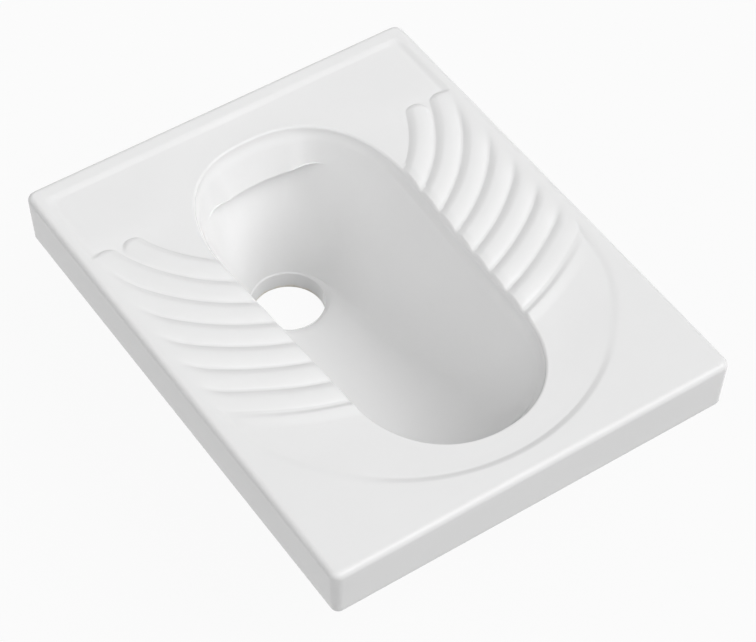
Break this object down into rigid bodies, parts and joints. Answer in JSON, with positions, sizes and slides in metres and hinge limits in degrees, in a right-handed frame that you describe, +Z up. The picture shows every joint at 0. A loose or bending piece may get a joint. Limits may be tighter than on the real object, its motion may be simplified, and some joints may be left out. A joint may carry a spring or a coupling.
{
  "type": "squat toilet",
  "caption": "Ceramic squat toilet pan with an oval bowl, ribbed foot treads, a lip with a flush slot, a rear flush inlet and a straight bottom outlet.",
  "frame": {"origin": "centre of the outlet in the plane that the pan stands on", "axes": "+Z up, +Y to the flush inlet at the back, +X to the right side of the pan seen from its front"},
  "size_m": [0.43, 0.563, 0.195],
  "materials": {
    "glaze": "gloss white glaze",
    "biscuit": "unglazed, matt",
    "rubber": "matt black",
    "steel": "stainless, brushed"
  },
  "bodies": {
    "root": {"deck": "glaze", "left_tread": "glaze", "right_tread": "glaze", "apron": "glaze", "rim_wall": "glaze", "bowl": "glaze", "flush_channel": "glaze", "water_box": "glaze", "inlet_spigot": "glaze", "outlet_spigot": "biscuit", "front_foot": "biscuit", "rib_front": "glaze", "rib_left_front": "glaze", "rib_left_rear": "glaze", "rib_right_front": "glaze", "rib_right_rear": "glaze", "inlet_cuff": "rubber", "spigot_clamp": "steel", "pipe_clamp": "steel", "outlet_seal": "rubber"}
  },
  "joints": []
}
